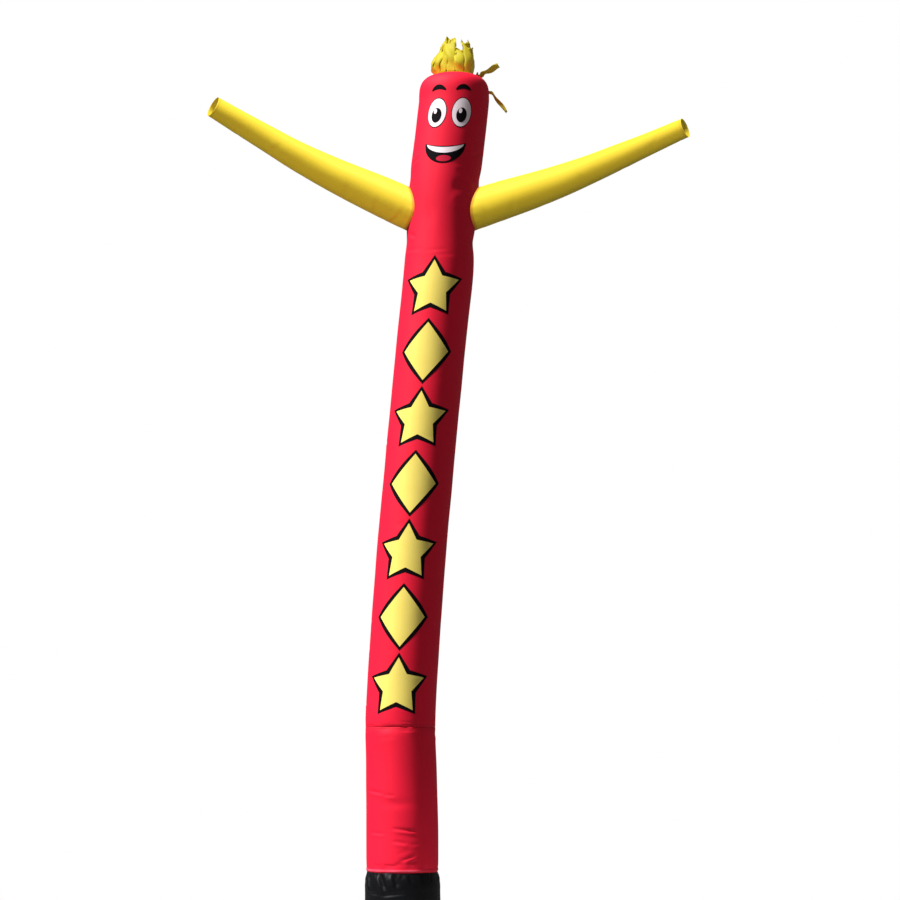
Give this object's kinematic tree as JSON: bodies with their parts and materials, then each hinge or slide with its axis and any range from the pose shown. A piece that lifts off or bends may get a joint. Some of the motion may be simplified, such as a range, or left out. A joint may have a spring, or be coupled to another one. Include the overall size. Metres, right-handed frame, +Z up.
{
  "type": "inflatable air dancer",
  "caption": "Tall air-filled cloth tube figure with a domed head, strip hair, two open tapered arms, a lapped waist seam and an open base cuff; it stands leaning to one side.",
  "frame": {"origin": "on the ground, under the middle of the figure's box; the cuff stands about 0.3 m to its left", "axes": "+Z up along the tube, -Y the front with the face, +X the figure's right-hand side as seen from the front"},
  "size_m": [3.2118, 0.6854, 6.0216],
  "materials": {
    "tube_cloth": "red ripstop nylon, slight sheen",
    "arm_cloth": "yellow ripstop nylon, slight sheen",
    "cuff_cloth": "black heavier nylon, matt"
  },
  "bodies": {
    "root": {"base_cuff": "cuff_cloth", "lower_panel": "tube_cloth", "body_and_head": "tube_cloth", "arm_left": "arm_cloth", "arm_right": "arm_cloth", "hair": "arm_cloth"}
  },
  "joints": []
}
